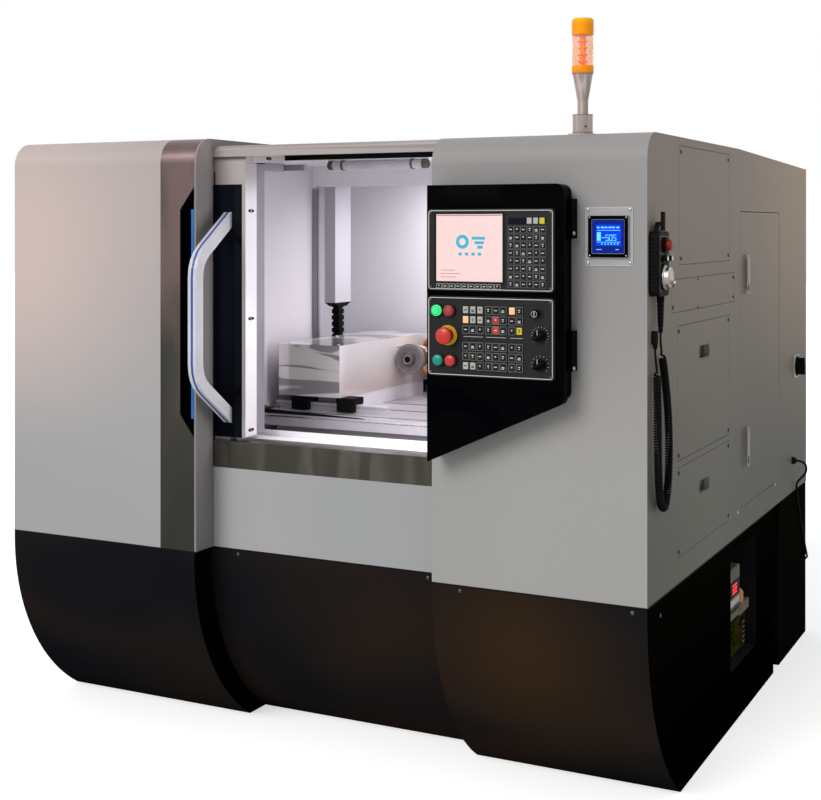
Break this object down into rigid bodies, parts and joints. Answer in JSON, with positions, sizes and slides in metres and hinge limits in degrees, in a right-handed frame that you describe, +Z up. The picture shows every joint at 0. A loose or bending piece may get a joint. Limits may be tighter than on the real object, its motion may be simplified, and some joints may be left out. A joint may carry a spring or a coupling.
{
  "type": "cnc cylindrical grinder",
  "caption": "Enclosed CNC cylindrical grinder with a sliding door, an open grinding chamber, a control panel, a hanging pulse generator and a signal lamp.",
  "frame": {"origin": "on the floor, at the middle of the enclosure in width and depth", "axes": "+X to the operator's right, +Y from the front to the back, +Z up"},
  "size_m": [1.9144, 1.9749, 1.869],
  "materials": {
    "grey_paint": "satin textured grey enamel",
    "hoop_paint": "satin mid grey enamel",
    "base_paint": "semi-gloss black enamel",
    "polished_band": "polished stainless sheet",
    "mirror_steel": "mirror-polished stainless",
    "chamber_paint": "white gloss enamel",
    "ground_steel": "ground steel",
    "black_plastic": "matt black plastic",
    "abrasive": "fine grey abrasive",
    "chuck_bronze": "machined bronze",
    "dark_glass": "glossy dark safety glass",
    "handle_film": "white coated bar",
    "panel_gloss": "high-gloss black",
    "unit_face": "satin anthracite membrane",
    "screen_glow": "lit display",
    "red_plastic": "glossy red plastic",
    "green_lamp": "lit green lens",
    "teal_plastic": "glossy teal plastic",
    "satin_metal": "satin metal",
    "meter_face": "dark frame with a blue display",
    "amber_lens": "ribbed amber lens",
    "cord_cover": "black cord jacket",
    "pale_plastic": "light grey plastic"
  },
  "bodies": {
    "root": {"bed": "hoop_paint", "base_left": "base_paint", "base_center": "base_paint", "base_right": "base_paint", "base_rear": "base_paint", "left_housing": "grey_paint", "steel_band": "polished_band", "door_hoop": "hoop_paint", "header_rail": "grey_paint", "right_housing": "grey_paint", "rear_housing": "grey_paint", "apron": "grey_paint", "sill": "polished_band", "chamber_liner": "chamber_paint", "table": "ground_steel", "chamber_lamp": "chamber_paint", "cable_duct": "chamber_paint", "drag_chain": "black_plastic", "workhead": "grey_paint", "control_box": "panel_gloss", "display_unit": "unit_face", "screen": "screen_glow", "operator_panel": "unit_face", "panel_meter": "meter_face", "lamp_stand": "satin_metal", "lamp_lens": "amber_lens", "pendant_body": "black_plastic", "pendant_cord": "cord_cover", "cable_glands": "black_plastic", "supply_cable": "black_plastic", "upper_cover": "grey_paint", "middle_cover": "grey_paint", "slot_covers": "grey_paint", "isolator_plate": "pale_plastic", "lubricator": "pale_plastic", "cover_screws": "satin_metal"},
    "door": {"door_frame": "grey_paint", "door_glass": "dark_glass", "door_handle": "handle_film", "door_hangers": "handle_film"},
    "head": {"head_saddle": "chamber_paint", "head_carriages": "black_plastic", "head_cover": "mirror_steel"},
    "wheel": {"wheel_spindle": "mirror_steel", "grinding_wheel": "abrasive"},
    "chuck": {"chuck": "chuck_bronze"},
    "estop": {"estop_head": "red_plastic"},
    "start": {"start_button": "green_lamp"},
    "stop": {"stop_button": "red_plastic"},
    "on": {"on_button": "teal_plastic"},
    "off": {"off_button": "red_plastic"},
    "key": {"key_switch": "satin_metal"},
    "feed": {"feed_knob": "black_plastic"},
    "speed": {"speed_knob": "black_plastic"},
    "cabinet": {"cabinet_door": "grey_paint"},
    "isolator": {"isolator_knob": "black_plastic"},
    "dial": {"pendant_dial": "satin_metal"},
    "pendant_stop": {"pendant_stop": "red_plastic"},
    "axis_knob": {"pendant_axis_knob": "black_plastic"},
    "step_knob": {"pendant_step_knob": "black_plastic"}
  },
  "joints": [
    {"name": "door_slide", "type": "slide", "parent": "root", "child": "door", "axis": [1, 0, 0], "range_m": [0, 0.598]},
    {"name": "head_slide", "type": "slide", "parent": "root", "child": "head", "axis": [1, 0, 0], "range_m": [-0.01, 0.025]},
    {"name": "wheel_spin", "type": "hinge", "parent": "head", "child": "wheel", "pos_m": [-0.07, -0.089, 0.965], "axis": [0, 1, 0], "continuous": true},
    {"name": "work_spin", "type": "hinge", "parent": "root", "child": "chuck", "pos_m": [-0.02, 0.083, 0.965], "axis": [0, 1, 0], "continuous": true},
    {"name": "estop_press", "type": "slide", "parent": "root", "child": "estop", "axis": [0, 1, 0], "range_m": [0, 0.006]},
    {"name": "start_press", "type": "slide", "parent": "root", "child": "start", "axis": [0, 1, 0], "range_m": [0, 0.004], "stiffness_N_per_m": 500},
    {"name": "stop_press", "type": "slide", "parent": "root", "child": "stop", "axis": [0, 1, 0], "range_m": [0, 0.004], "stiffness_N_per_m": 500},
    {"name": "on_press", "type": "slide", "parent": "root", "child": "on", "axis": [0, 1, 0], "range_m": [0, 0.004], "stiffness_N_per_m": 500},
    {"name": "off_press", "type": "slide", "parent": "root", "child": "off", "axis": [0, 1, 0], "range_m": [0, 0.004], "stiffness_N_per_m": 500},
    {"name": "key_turn", "type": "hinge", "parent": "root", "child": "key", "pos_m": [0.691, -0.974, 1.173], "axis": [0, -1, 0], "range_deg": [0, 90]},
    {"name": "feed_turn", "type": "hinge", "parent": "root", "child": "feed", "pos_m": [0.701, -0.974, 1.123], "axis": [0, -1, 0], "range_deg": [-130, 130]},
    {"name": "speed_turn", "type": "hinge", "parent": "root", "child": "speed", "pos_m": [0.701, -0.974, 1.057], "axis": [0, -1, 0], "range_deg": [-130, 130]},
    {"name": "cabinet_swing", "type": "hinge", "parent": "root", "child": "cabinet", "pos_m": [0.923, 0.47, 1], "axis": [0, 0, 1], "range_deg": [0, 100]},
    {"name": "isolator_turn", "type": "hinge", "parent": "root", "child": "isolator", "pos_m": [0.93, 0.728, 0.915], "axis": [1, 0, 0], "range_deg": [0, 90]},
    {"name": "dial_spin", "type": "hinge", "parent": "root", "child": "dial", "pos_m": [0.9544, -0.8505, 1.257], "axis": [1, 0, 0], "continuous": true},
    {"name": "pendant_stop_press", "type": "slide", "parent": "root", "child": "pendant_stop", "axis": [-1, 0, 0], "range_m": [0, 0.004]},
    {"name": "axis_turn", "type": "hinge", "parent": "root", "child": "axis_knob", "pos_m": [0.9544, -0.8665, 1.3], "axis": [1, 0, 0], "range_deg": [0, 120]},
    {"name": "step_turn", "type": "hinge", "parent": "root", "child": "step_knob", "pos_m": [0.9544, -0.8305, 1.3], "axis": [1, 0, 0], "range_deg": [0, 60]}
  ]
}
